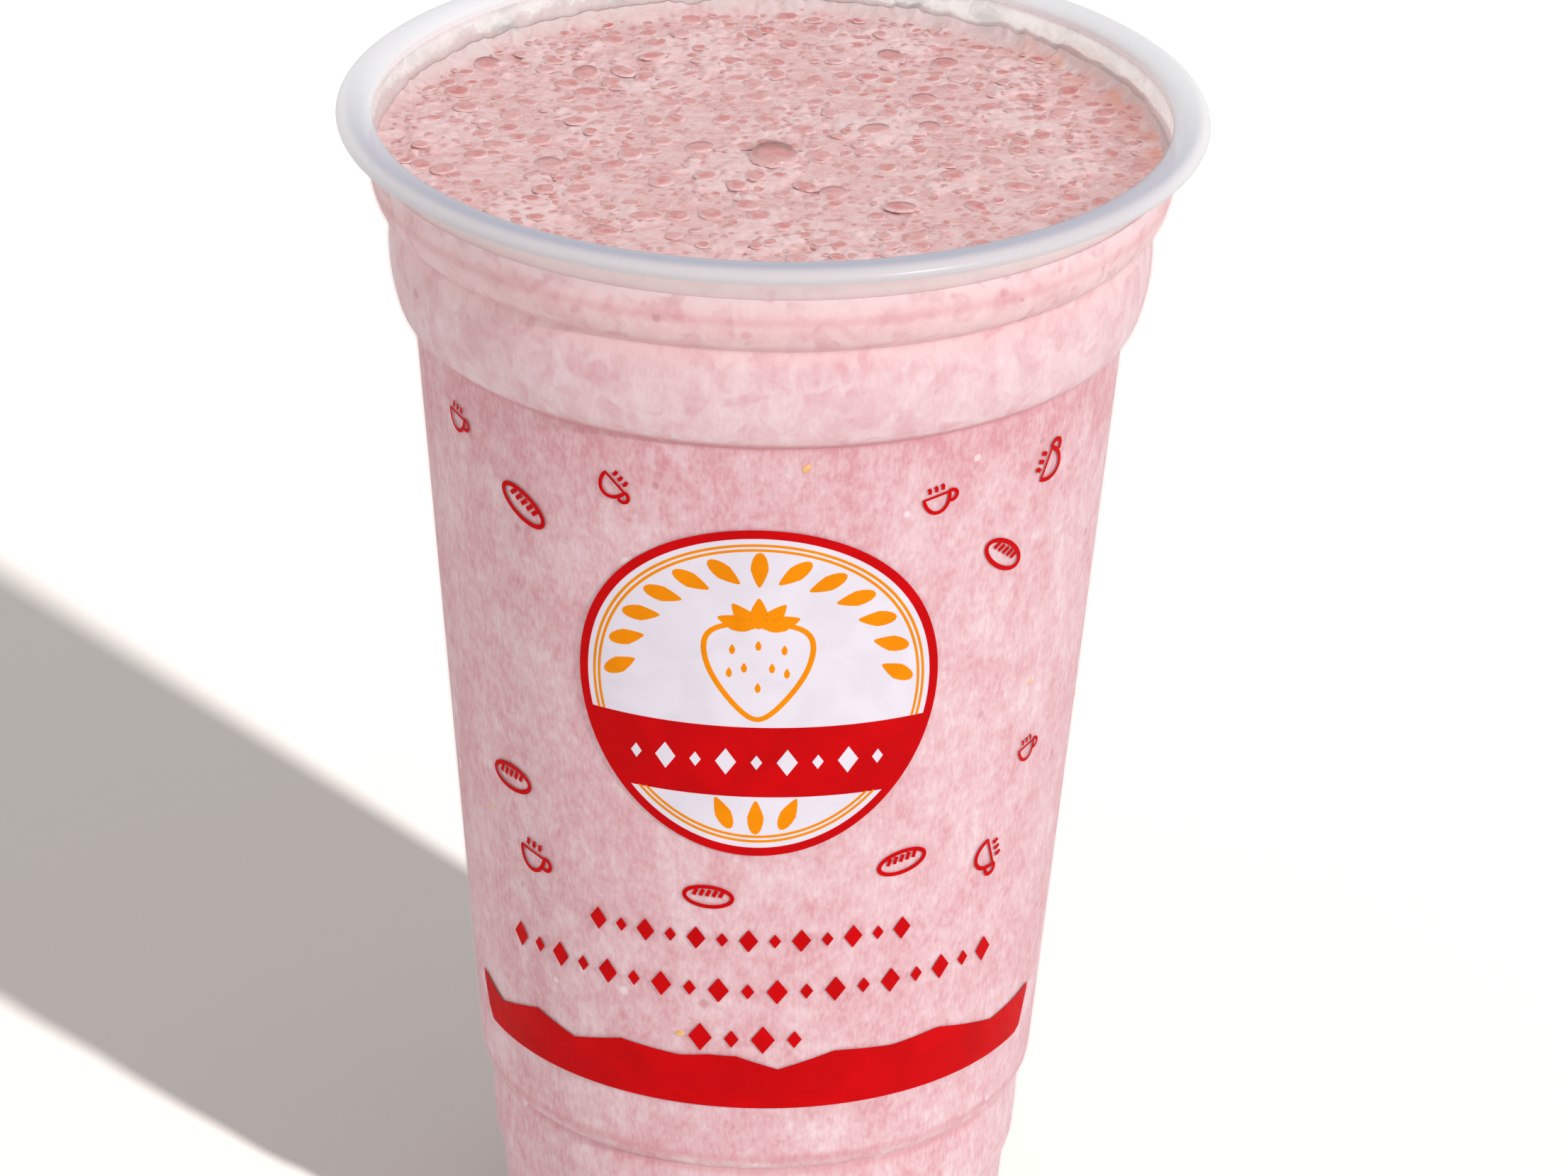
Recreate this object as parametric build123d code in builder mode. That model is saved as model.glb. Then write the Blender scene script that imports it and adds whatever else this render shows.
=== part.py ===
"""A strawberry smoothie in the disposable cup that holds it.

Two solids share one axis of revolution: the thin-walled cup and the drink that
fills it up to the froth line. The origin is the centre of the cup's base and
+Z points up. All sizes are in millimetres.
"""
from build123d import *
import os

# Overall sizes of the cup
rim_diameter = 98.0        # outside of the rolled rim
base_diameter = 57.4       # where the foot meets the table
cup_height = 148.0         # table to the top of the rolled rim
wall = 0.7                 # sheet thickness, measured square to the axis

# Rolled rim
bead_width = 3.3           # from the neck's outer skin out to the rim's edge
bead_height = 2.2          # top to bottom of the roll
bead_lip = 0.15            # how far the roll stands proud of the inner wall

# Neck, where a lid would grip
neck_length = 7.3          # from the middle of the roll down to the curl
neck_taper = 0.4           # narrowing over that length
neck_curl_drop = 3.8       # height of the curl under the neck
neck_curl_in = 2.4         # how far the curl tucks in
neck_curl_bow = 0.45       # roundness of the curl

# Stacking shoulder
shoulder_length = 9.9
shoulder_taper = 0.44
shoulder_bow = 0.62
shoulder_curl_drop = 2.6
shoulder_curl_in = 2.0
shoulder_curl_bow = 0.4

# Lower step, foot band and foot
step_drop = 2.4
step_in = 1.45
step_bow = 0.35
band_length = 8.1
band_taper = 0.25
band_bow = 0.2
band_curl_drop = 2.5
band_curl_in = 0.85
band_curl_bow = 0.3
foot_height = 17.6         # from the table up to the crease under the band
foot_spread = 1.45         # how much wider the foot is at that crease

# Underside
base_round = 1.5           # rounding between the foot and the table
recess_margin = 4.6        # width of the ring that the cup stands on
recess_slant = 1.0         # how far the recess narrows as it rises
recess_depth = 3.0

# Drink
headspace = 6.1            # top of the rim down to the edge of the froth
froth_crown = 0.5          # how far the middle of the froth stands above its edge
meniscus = 0.6             # height and width of the froth's climb up the wall
fit_gap = 0.1              # clearance between the drink and the cup's inner skin

# Values worked out from the sizes above
rim_radius = rim_diameter / 2
base_radius = base_diameter / 2
rim_line = cup_height - bead_height / 2
froth_line = cup_height - headspace
recess_radius = base_radius - recess_margin
ledge_lift = 0.6           # share of an inset by which the inner skin also rises
corner_bow_share = 0.2     # bow of the base corner as a share of its chord


def side_stations():
    """Radius, height and bow of the arriving curve, from the rim down to the foot."""
    radius = rim_radius - bead_width
    height = rim_line
    stations = [(radius, height, 0.0)]
    upper_steps = (
        (neck_taper, neck_length, 0.0),
        (neck_curl_in, neck_curl_drop, neck_curl_bow),
        (shoulder_taper, shoulder_length, shoulder_bow),
        (shoulder_curl_in, shoulder_curl_drop, shoulder_curl_bow),
    )
    for inward, drop, bow in upper_steps:
        radius -= inward
        height -= drop
        stations.append((radius, height, bow))

    # The lower stretch is laid out upwards from the foot's crease, so that the
    # plain tapered body takes up whatever height and width is left between.
    radius = base_radius + foot_spread
    height = foot_height
    lower = [(radius, height, band_curl_bow)]
    lower_steps = (
        (band_curl_in, band_curl_drop, band_bow),
        (band_taper, band_length, step_bow),
        (step_in, step_drop, 0.0),
    )
    for outward, rise, bow in lower_steps:
        radius += outward
        height += rise
        lower.append((radius, height, bow))
    stations += reversed(lower)
    stations.append((base_radius, base_round, 0.0))
    return stations


def skin_points(inset):
    """The side stations moved in from the outer skin by an inset."""
    lift = ledge_lift * inset
    points = [(radius - inset, height + lift, bow) for radius, height, bow in side_stations()]
    # The first point stays on the rim line.
    top_radius, _, top_bow = points[0]
    points[0] = (top_radius, rim_line, top_bow)
    return points


def draw_skin(inset):
    """Draw the closed half outline of the space inside a skin at this inset."""
    points = skin_points(inset)
    for (r0, z0, _), (r1, z1, bow) in zip(points, points[1:]):
        if bow:
            SagittaArc((r0, z0), (r1, z1), bow)
        else:
            Line((r0, z0), (r1, z1))
    foot_r, foot_z, _ = points[-1]
    corner = Vector(base_radius - base_round - ledge_lift * inset, inset)
    foot = Vector(foot_r, foot_z)
    SagittaArc(foot, corner, corner_bow_share * (foot - corner).length)
    recess_foot = (recess_radius + inset, inset)
    recess_top = (recess_radius + inset - recess_slant, recess_depth + inset)
    Polyline(
        corner,
        recess_foot,
        recess_top,
        (0, recess_depth + inset),
        (0, rim_line),
        (points[0][0], rim_line),
    )


# Cup: outer skin, less the inner skin, with the rolled rim on top
with BuildPart() as cup:
    with BuildSketch(Plane.XZ) as cup_section:
        with BuildLine():
            draw_skin(0.0)
        make_face()
        with BuildLine():
            draw_skin(wall)
        make_face(mode=Mode.SUBTRACT)
        inner_edge = rim_radius - bead_width - wall - bead_lip
        bead_half_width = (rim_radius - inner_edge) / 2
        with Locations((rim_radius - bead_half_width, rim_line)):
            Ellipse(bead_half_width, bead_height / 2)
    revolve(axis=Axis.Z)
cup.part.label = "cup"

# Drink: all the space inside the cup's inner skin, up to the froth
with BuildPart() as smoothie:
    with BuildSketch(Plane.XZ) as smoothie_section:
        with BuildLine():
            draw_skin(wall + fit_gap)
        make_face()
        froth_edge = rim_radius - bead_width - wall - fit_gap - meniscus
        with BuildLine():
            ThreePointArc(
                (0, froth_line + froth_crown),
                (froth_edge / 2, froth_line + froth_crown * 3 / 4),
                (froth_edge, froth_line),
            )
            Polyline(
                (froth_edge, froth_line),
                (froth_edge + meniscus, froth_line + meniscus),
                (rim_radius, froth_line + meniscus),
                (rim_radius, cup_height),
                (0, cup_height),
                (0, froth_line + froth_crown),
            )
        make_face(mode=Mode.SUBTRACT)
    revolve(axis=Axis.Z)
smoothie.part.label = "smoothie"

os.makedirs("parts", exist_ok=True)
export_step(cup.part, "parts/cup.step")
export_step(smoothie.part, "parts/smoothie.step")
print("cup volume ml", round(cup.part.volume / 1000, 1))
print("smoothie volume ml", round(smoothie.part.volume / 1000, 1))
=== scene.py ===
"""A strawberry smoothie in its disposable cup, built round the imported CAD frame.

The file is laid out as a Blender add-on and is run as a script. Every length is
in metres, +Z points up, and the origin is the centre of the cup's base.
"""
import math
import random
from contextlib import contextmanager

import bpy
from bpy.props import FloatProperty, FloatVectorProperty, IntProperty, PointerProperty
from mathutils import Matrix, Vector, noise


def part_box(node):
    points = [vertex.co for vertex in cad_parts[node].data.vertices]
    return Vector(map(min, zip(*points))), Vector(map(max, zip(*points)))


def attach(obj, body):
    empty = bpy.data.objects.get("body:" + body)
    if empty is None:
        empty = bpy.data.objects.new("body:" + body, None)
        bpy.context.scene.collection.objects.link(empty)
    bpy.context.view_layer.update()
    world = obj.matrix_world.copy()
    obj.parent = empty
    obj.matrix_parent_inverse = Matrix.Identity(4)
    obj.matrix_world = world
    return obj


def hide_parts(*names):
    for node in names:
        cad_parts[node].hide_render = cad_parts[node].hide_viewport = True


bl_info = {
    "name": "Strawberry Smoothie Cup",
    "version": (1, 0, 0),
    "blender": (4, 5, 0),
    "location": "3D View > Sidebar > Smoothie",
    "description": "Builds a disposable cup of strawberry smoothie round its CAD frame",
    "category": "Add Mesh",
}

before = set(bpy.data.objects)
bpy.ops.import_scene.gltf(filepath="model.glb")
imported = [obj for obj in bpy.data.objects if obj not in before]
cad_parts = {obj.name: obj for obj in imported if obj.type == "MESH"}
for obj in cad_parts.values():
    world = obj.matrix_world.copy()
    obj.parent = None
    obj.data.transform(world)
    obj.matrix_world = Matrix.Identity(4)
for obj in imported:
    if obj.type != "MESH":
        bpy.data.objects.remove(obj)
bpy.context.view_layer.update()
_, cup_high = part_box("cup")

MM = 0.001
BODY = "root"
CUP_NODE = "cup"
DRINK_NODE = "smoothie"
# Points nearer than this are merged
WELD_DISTANCE = 0.002 * MM
# Share of an inset by which the inner skin also rises at its ledges
LEDGE_LIFT = 0.6


# ---------------------------------------------------------------- properties


def length(name, description, millimetres):
    """A length that the panel shows in scene units."""
    return FloatProperty(
        name=name,
        description=description,
        default=millimetres * MM,
        precision=5,
        unit="LENGTH",
    )


def colour(name, description, red, green, blue):
    """A colour given as a printer's 0-255 values."""
    return FloatVectorProperty(
        name=name,
        description=description,
        subtype="COLOR_GAMMA",
        size=3,
        min=0.0,
        max=1.0,
        default=(red / 255, green / 255, blue / 255),
    )


def tally(name, description, value, least=0, highest=5000):
    """A whole number."""
    return IntProperty(
        name=name, description=description, default=value, min=least, max=highest
    )


class CupSizes(bpy.types.PropertyGroup):
    """Sizes of the moulded cup."""

    rim: length("Rim", "Width outside the rolled rim", 2 * cup_high.x / MM)
    height: length("Height", "Table to the top of the rim", cup_high.z / MM)
    base: length("Base", "Width where the foot meets the table", 57.4)
    wall: length("Wall", "Sheet thickness", 0.7)
    bead_width: length("Bead width", "From the neck's skin out to the rim's edge", 3.3)
    bead_height: length("Bead height", "Top to bottom of the rolled rim", 2.2)
    bead_lip: length("Bead lip", "How far the roll stands proud of the inner wall", 0.15)
    base_round: length("Base rounding", "Rounding between the foot and the table", 1.5)
    foot_height: length("Foot height", "Table up to the lower crease", 17.6)
    foot_spread: length("Foot spread", "How much wider the foot is at its crease", 1.45)
    recess_margin: length("Standing ring", "Width of the ring the cup stands on", 4.6)
    recess_depth: length("Recess depth", "Depth of the recess under the cup", 3.0)
    sides: tally("Sides", "Steps round the axis", 240, 48, 512)


class DrinkSizes(bpy.types.PropertyGroup):
    """Sizes of the drink and its froth."""

    headspace: length("Headspace", "Top of the rim down to the froth's edge", 6.1)
    crown: length("Crown", "How far the froth's middle stands above its edge", 0.5)
    reach: length("Reach", "How far the drink reaches into the wall", 0.5)
    climb: length("Climb", "Height of the froth's climb up the wall", 0.7)
    grid: tally("Froth grid", "Cells across the froth", 296, 60, 300)
    small: tally("Small bubbles", "Number of small bubbles", 1000)
    medium: tally("Medium bubbles", "Number of middling bubbles", 400)
    large: tally("Large bubbles", "Number of large film bubbles", 12)


class PrintSizes(bpy.types.PropertyGroup):
    """Sizes of the printed shapes."""

    ink: length("Ink", "Thickness of the print", 0.05)
    badge_radius: length("Badge radius", "Outside radius of the round badge", 20.9)
    badge_height: length("Badge height", "Height of the badge's centre", 92.5)
    ring_width: length("Ring width", "Width of the badge's red ring", 1.05)
    line_width: length("Line width", "Width of the thin orange lines", 0.32)
    band_height: length("Band height", "Height of the lower edge of the red band", 37.6)
    stroke: length("Stroke", "Width of the small pictures' strokes", 0.5)


class Colours(bpy.types.PropertyGroup):
    """Colours of the finishes."""

    drink_deep: colour("Drink, deep", "The drink between its pale blotches", 219, 147, 156)
    drink_pale: colour("Drink, pale", "The drink's pale blotches", 245, 222, 226)
    # Also used as painted light at the drink's top edge, under the rim.
    drink_foam_and_light: colour("Drink, foam", "The foam that stands at the shoulder", 246, 220, 223)
    # Painted shade along the cup's creases; also the colour of the neck's small dark spots.
    drink_crease_shade_and_spots: colour("Drink, crease", "The drink along the cup's creases", 214, 124, 132)
    froth_base: colour("Froth", "The froth's plain colour", 227, 181, 179)
    froth_pale: colour("Froth, pale", "Foam patches", 246, 217, 217)
    froth_deep: colour("Froth, deep", "The liquid between threads of foam", 212, 134, 127)
    bubble_deep: colour("Bubble, deep", "The liquid seen inside bubbles", 210, 112, 108)
    # Partly painted shade: the line is faint all round and strongest on each bubble's far side.
    froth_line: colour("Froth, line", "Thin dark line round a bubble", 180, 126, 122)
    # Painted shade: the dark far edge of a clear skin.
    film_line_shade: colour("Film, line", "The far edge of a bubble's clear skin", 150, 104, 92)
    froth_warm: colour("Froth, warm", "Clear liquid at the froth's edge", 232, 164, 146)
    film_near: colour("Film, near", "Drink dried on the wall that faces the front", 252, 206, 202)
    film_far: colour("Film, far", "Thinner drink dried on the far wall", 253, 249, 248)
    film_shade: colour("Film, shade", "The same where the light falls full on it", 217, 208, 206)
    # Painted shade: the grey stands for the dim view through the gaps.
    film_gap_shade: colour("Film, gaps", "Gaps in the foam on the far wall", 168, 172, 168)
    plastic: colour("Plastic", "The cup's milky plastic", 246, 246, 247)
    # Painted shade: the rolled rim is made darker towards the front.
    bead_front_shade: colour("Bead, front", "The rolled rim where the drink tints it", 212, 206, 210)
    # Painted shade: the rolled rim's inner side, strongest at the front.
    bead_cool_shade: colour("Bead, cool", "The rolled rim's cool inner side", 184, 186, 202)
    # Painted light: the rolled rim's underside is made lighter, as if lit through.
    bead_under_light: colour("Bead, under", "The rolled rim's pale underside", 240, 232, 234)
    red: colour("Red ink", "Red of the print", 211, 7, 13)
    orange: colour("Orange ink", "Orange of the print", 252, 146, 8)
    white: colour("White ink", "Pale field of the badge", 238, 229, 240)


# ------------------------------------------------------------ mesh tools


def clear_selection():
    """Leave object mode and deselect everything."""
    if bpy.context.object and bpy.context.object.mode != "OBJECT":
        bpy.ops.object.mode_set(mode="OBJECT")
    bpy.ops.object.select_all(action="DESELECT")


def choose(*objects):
    """Select only these objects, the first one active."""
    clear_selection()
    for obj in objects:
        obj.select_set(True)
    bpy.context.view_layer.objects.active = objects[0]


def named(name):
    """Name the active object and its mesh."""
    obj = bpy.context.object
    obj.name = name
    obj.data.name = name
    return obj


@contextmanager
def editing():
    """Edit mode with the whole mesh selected, then object mode again."""
    bpy.ops.object.mode_set(mode="EDIT")
    bpy.ops.mesh.select_all(action="SELECT")
    yield
    bpy.ops.object.mode_set(mode="OBJECT")


def filled_circle(name, sides, radius=1.0):
    """A new flat circle that is one face."""
    clear_selection()
    bpy.ops.mesh.primitive_circle_add(vertices=sides, radius=radius, fill_type="NGON")
    return named(name)


def settle(obj):
    """Put an object's place into its mesh."""
    choose(obj)
    bpy.ops.object.transform_apply(location=True, rotation=True, scale=True)


def weld(obj):
    """Merge doubles and turn the faces outwards."""
    choose(obj)
    with editing():
        bpy.ops.mesh.remove_doubles(threshold=WELD_DISTANCE)
        bpy.ops.mesh.normals_make_consistent(inside=False)


def smooth(obj, degrees):
    """Shade an object smooth but for its sharp edges."""
    choose(obj)
    bpy.ops.object.shade_smooth_by_angle(angle=math.radians(degrees))


def thicken(obj, thickness):
    """Give a sheet its thickness, half to each side."""
    choose(obj)
    bpy.ops.object.modifier_add(type="SOLIDIFY")
    modifier = obj.modifiers[-1]
    modifier.thickness = thickness
    modifier.offset = 0.0
    bpy.ops.object.modifier_apply(modifier=modifier.name)


def joined(name, objects):
    """Join objects into one piece."""
    choose(*objects)
    if len(objects) > 1:
        bpy.ops.object.join()
    return named(name)


def copied(obj, place):
    """A copy with its own mesh, moved by a matrix that goes into the mesh."""
    twin = obj.copy()
    twin.data = obj.data.copy()
    twin.data.transform(place)
    bpy.context.scene.collection.objects.link(twin)
    return twin


def discard(*objects):
    """Remove pattern pieces once their copies are made."""
    for obj in objects:
        bpy.data.objects.remove(obj)


def finished(obj, degrees, material, slot, *nodes):
    """Give a piece its shading, its material and its place in the frame."""
    smooth(obj, degrees)
    settle(obj)
    obj.data.materials.clear()
    obj.data.materials.append(material)
    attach(obj, BODY)
    if nodes:
        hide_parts(*nodes)
    clear_selection()


def inked(piece, tint, degrees=30):
    """Finish a print in one of the inks."""
    finished(piece, degrees, bpy.data.materials["ink_" + tint], "print_" + tint)


def spun(name, outline, sides):
    """Draw an outline in the XZ plane, spin it about the upright axis and weld it."""
    clear_selection()
    bpy.ops.mesh.primitive_plane_add(size=MM)
    obj = named(name)
    with editing():
        bpy.ops.mesh.merge(type="CENTER")
        bpy.ops.transform.translate(value=(outline[0][0], 0, outline[0][1]))
        for (r0, z0), (r1, z1) in zip(outline, outline[1:]):
            bpy.ops.mesh.extrude_region_move(
                TRANSFORM_OT_translate={"value": (r1 - r0, 0, z1 - z0)}
            )
        bpy.ops.mesh.select_all(action="SELECT")
        bpy.ops.mesh.spin(steps=sides, angle=math.tau, center=(0, 0, 0), axis=(0, 0, 1))
    weld(obj)
    return obj


def bowed(start, end, bow, count):
    """Points after start, up to end, on a curve that swells outwards by bow."""
    dr, dz = end[0] - start[0], end[1] - start[1]
    span = math.hypot(dr, dz)
    points = []
    for i in range(1, count + 1):
        t = i / count
        swell = 4 * bow * t * (1 - t)
        points.append(
            (start[0] + dr * t + swell * dz / span, start[1] + dz * t - swell * dr / span)
        )
    return points


# ------------------------------------------------------------ cup outline


def rim_line(cup):
    """Height of the middle of the rolled rim."""
    return cup.height - cup.bead_height / 2


def side_stations(cup):
    """Radius, height, bow and steps of each stretch, from the foot up to the rim."""
    base_radius = cup.base / 2
    stations = [(base_radius, cup.base_round, 0.0, 1)]
    radius, height = base_radius + cup.foot_spread, cup.foot_height
    stations.append((radius, height, 0.0, 10))
    for outward, rise, bow, steps in (
        (0.85, 2.5, 0.3, 8),
        (0.25, 8.1, 0.2, 10),
        (1.45, 2.4, 0.35, 8),
    ):
        radius += outward * MM
        height += rise * MM
        stations.append((radius, height, bow * MM, steps))
    upper = [(cup.rim / 2 - cup.bead_width, rim_line(cup))]
    for inward, drop in ((0.4, 7.3), (2.4, 3.8), (0.44, 9.9), (2.0, 2.6)):
        upper.append((upper[-1][0] - inward * MM, upper[-1][1] - drop * MM))
    bows = (0.0, 0.4, 0.62, 0.45, 0.0)
    steps = (40, 10, 14, 10, 8)
    for (radius, height), bow, count in zip(reversed(upper), bows, steps):
        stations.append((radius, height, bow * MM, count))
    return stations


def skin(cup, inset):
    """The side's outline from the foot up to the rim line, moved in by an inset."""
    lift = LEDGE_LIFT * inset
    stations = [(r - inset, z + lift, bow, steps) for r, z, bow, steps in side_stations(cup)]
    top = stations[-1]
    stations[-1] = (top[0], rim_line(cup), top[2], top[3])
    points = [stations[0][:2]]
    for r, z, bow, steps in stations[1:]:
        points += bowed(points[-1], (r, z), bow, steps)
    return points


def underside(cup, inset):
    """The outline from the axis out to the foot, moved in by an inset."""
    lift = LEDGE_LIFT * inset
    base_radius = cup.base / 2
    recess = base_radius - cup.recess_margin + inset
    foot = (base_radius - inset, cup.base_round + lift)
    corner = (base_radius - cup.base_round - lift, inset)
    bow = 0.2 * math.dist(foot, corner)
    return [
        (0.0, cup.recess_depth + inset),
        (recess / 2, cup.recess_depth + inset),
        (recess - 1.0 * MM, cup.recess_depth + inset),
        (recess, inset),
        corner,
    ] + bowed(corner, foot, bow, 6)[:-1]


def radius_at(points, height):
    """Radius of an outline at a height, on its side stretch."""
    for (r0, z0), (r1, z1) in zip(points, points[1:]):
        if z0 <= height <= z1 and z1 > z0:
            return r0 + (r1 - r0) * (height - z0) / (z1 - z0)
    return points[-1][0] if height > points[-1][1] else points[0][0]


# ------------------------------------------------------------ material tools

NUMBER, VECTOR, COLOR = "NodeSocketFloat", "NodeSocketVector", "NodeSocketColor"
CLEAR_WHITE = (1.0, 1.0, 1.0, 1.0)
DARK_SPECK, PALE_GLINT = (0.7, 0.42, 0.44), (0.99, 0.94, 0.94)
PALE_FILM = (0.95, 0.86, 0.86)
FRUIT_DEEP, FRUIT_PALE = (0.93, 0.66, 0.36), (0.96, 0.78, 0.45)


def linear(values):
    """A screen colour as the linear colour that a shader takes."""
    return tuple(
        v / 12.92 if v <= 0.04045 else ((v + 0.055) / 1.055) ** 2.4 for v in values
    ) + (1.0,)


def fill(tree, target, inputs):
    """Give a node's inputs their values, and link those that are sockets."""
    for key, value in inputs.items():
        if isinstance(value, bpy.types.NodeSocket):
            tree.links.new(value, target.inputs[key])
        else:
            target.inputs[key].default_value = value


def node(tree, kind, inputs=None, **settings):
    """Add a node with its settings, its values and its links."""
    new = tree.nodes.new(kind)
    for key, value in settings.items():
        setattr(new, key, value)
    fill(tree, new, inputs or {})
    return new


def mixed(tree, factor, first, second):
    """Mix of two colours: sockets, screen colours of three parts or linear ones of four."""
    if not isinstance(first, bpy.types.NodeSocket) and len(first) == 3:
        first = linear(first)
    if not isinstance(second, bpy.types.NodeSocket) and len(second) == 3:
        second = linear(second)
    return node(tree, "ShaderNodeMix", {0: factor, 6: first, 7: second}, data_type="RGBA").outputs[2]


def maths(tree, operation, first, second=0.0, clamp=False):
    """One step of arithmetic."""
    return node(
        tree, "ShaderNodeMath", {0: first, 1: second}, operation=operation, use_clamp=clamp
    ).outputs[0]


def times(tree, first, second, clamp=False):
    """Product of two values."""
    return maths(tree, "MULTIPLY", first, second, clamp)


def plus(tree, first, second, clamp=False):
    """Sum of two values."""
    return maths(tree, "ADD", first, second, clamp)


def less(tree, first, second, clamp=False):
    """The first value less the second."""
    return maths(tree, "SUBTRACT", first, second, clamp)


def most(tree, first, second):
    """The larger of two values."""
    return maths(tree, "MAXIMUM", first, second)


def weighed(tree, *pairs):
    """Sum of values, each times its weight."""
    total = times(tree, *pairs[0])
    for value, weight in pairs[1:]:
        total = plus(tree, total, times(tree, value, weight))
    return total


def layered(tree, base, *layers):
    """A colour with others laid over it, each by its mask and its strength."""
    for mask, strength, tint in layers:
        base = mixed(tree, times(tree, mask, strength), base, tint)
    return base


def eased(tree, value, low, high, to_low=0.0, to_high=1.0):
    """Value mapped smoothly from low..high."""
    return node(
        tree,
        "ShaderNodeMapRange",
        {0: value, 1: low, 2: high, 3: to_low, 4: to_high},
        interpolation_type="SMOOTHSTEP",
    ).outputs[0]


def band_mask(tree, height, middle, half_width):
    """1 at a height, falling to 0 a little above and below it."""
    away = maths(tree, "ABSOLUTE", less(tree, height, middle))
    return eased(tree, away, half_width, 0.0)


def object_place(tree):
    """Object coordinates."""
    return node(tree, "ShaderNodeTexCoord").outputs["Object"]


def axis_parts(tree, vector):
    """The three parts of a vector."""
    return node(tree, "ShaderNodeSeparateXYZ", {0: vector}).outputs


def stretched(tree, place, scale):
    """A place scaled along its axes, so that a pattern on it is drawn out or squeezed."""
    return node(tree, "ShaderNodeMapping", {0: place, 3: scale}).outputs[0]


def stored_marks(tree, name):
    """The three masks stored in a piece's own attribute."""
    marks = node(tree, "ShaderNodeAttribute", attribute_name=name).outputs["Color"]
    return node(tree, "ShaderNodeSeparateColor", {0: marks}).outputs


def soak(weight, reach, depth):
    """Inputs for light that soaks in: its weight, its reach by colour and its depth in mm."""
    return {
        "Subsurface Weight": weight,
        "Subsurface Radius": reach,
        "Subsurface Scale": depth * MM,
    }


def new_material(name):
    """An empty node material and its shader."""
    material = bpy.data.materials.new(name)
    material.use_nodes = True
    return material, material.node_tree, material.node_tree.nodes["Principled BSDF"]


def group_tree(name, inputs, outputs):
    """A shader node group with named sockets, and its two end nodes."""
    tree = bpy.data.node_groups.new(name, "ShaderNodeTree")
    for label, kind, default in inputs:
        socket = tree.interface.new_socket(label, in_out="INPUT", socket_type=kind)
        if default is not None:
            socket.default_value = default
    for label, kind in outputs:
        tree.interface.new_socket(label, in_out="OUTPUT", socket_type=kind)
    return tree, tree.nodes.new("NodeGroupInput").outputs, tree.nodes.new("NodeGroupOutput")


def placed_group(tree, name, inputs):
    """A node that places a group, with its values."""
    return node(tree, "ShaderNodeGroup", inputs, node_tree=bpy.data.node_groups[name]).outputs


def mottle(tree, place, scale, detail, low, high):
    """Blotches of one scale, as a mask, and the finer ones that break them up."""
    values = {"Place": place, "Scale": scale, "Detail": detail, "Low": low, "High": high}
    return placed_group(tree, "Mottle", values)


def specks(tree, place, scale, size, chance):
    """Mask of scattered specks."""
    values = {"Place": place, "Scale": scale, "Size": size, "Share": chance}
    return placed_group(tree, "Specks", values)["Mask"]


# ------------------------------------------------------------ shared effects


def make_mottle_group():
    """Soft blotches broken up by finer ones."""
    tree, given, end = group_tree(
        "Mottle",
        (
            ("Place", VECTOR, None),
            ("Scale", NUMBER, 150.0),
            ("Detail", NUMBER, 3.0),
            ("Low", NUMBER, 0.4),
            ("High", NUMBER, 0.65),
        ),
        (("Mask", NUMBER), ("Fine", NUMBER)),
    )
    place, scale = given["Place"], given["Scale"]
    wide = node(
        tree,
        "ShaderNodeTexNoise",
        {"Vector": place, "Scale": scale, "Detail": given["Detail"], "Distortion": 0.6},
    )
    fine = node(
        tree,
        "ShaderNodeTexNoise",
        {"Vector": place, "Scale": times(tree, scale, 5.3), "Detail": 3.0, "Roughness": 0.6},
    )
    mask = eased(tree, wide.outputs[0], given["Low"], given["High"])
    fill(tree, end, {"Mask": mask, "Fine": eased(tree, fine.outputs[0], 0.3, 0.7)})


def make_speck_group():
    """Scattered round specks, in a share of the cells of a Voronoi pattern."""
    tree, given, end = group_tree(
        "Specks",
        (
            ("Place", VECTOR, None),
            ("Scale", NUMBER, 400.0),
            ("Size", NUMBER, 0.25),
            ("Share", NUMBER, 0.2),
        ),
        (("Mask", NUMBER),),
    )
    cells = node(tree, "ShaderNodeTexVoronoi", {"Vector": given["Place"], "Scale": given["Scale"]})
    pick = node(tree, "ShaderNodeSeparateColor", {0: cells.outputs["Color"]}).outputs
    chosen = maths(tree, "LESS_THAN", pick[0], given["Share"])
    radius = times(tree, given["Size"], plus(tree, pick[1], 0.4))
    inside = eased(tree, cells.outputs["Distance"], radius, times(tree, radius, 0.5))
    fill(tree, end, {"Mask": times(tree, chosen, inside)})


def make_foam_group(colours):
    """The froth's mottled colour, with fine pits and soft streaks."""
    tree, given, end = group_tree(
        "Foam", (("Place", VECTOR, None),), (("Color", COLOR), ("Fine", NUMBER))
    )
    place = given["Place"]
    blotch = mottle(tree, place, 230.0, 4.0, 0.4, 0.64)
    streak = mottle(tree, stretched(tree, place, (0.45, 1.0, 1.0)), 640.0, 4.0, 0.4, 0.64)
    base = layered(
        tree,
        colours.froth_base,
        (blotch["Mask"], 0.45, colours.froth_pale),
        (streak["Mask"], 0.5, colours.froth_deep),
        (streak["Fine"], 0.55, colours.froth_pale),
        (specks(tree, place, 640.0, 0.36, 0.4), 0.6, colours.froth_deep),
    )
    fill(tree, end, {"Color": base, "Fine": blotch["Fine"]})


# ------------------------------------------------------------ finishes


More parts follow.
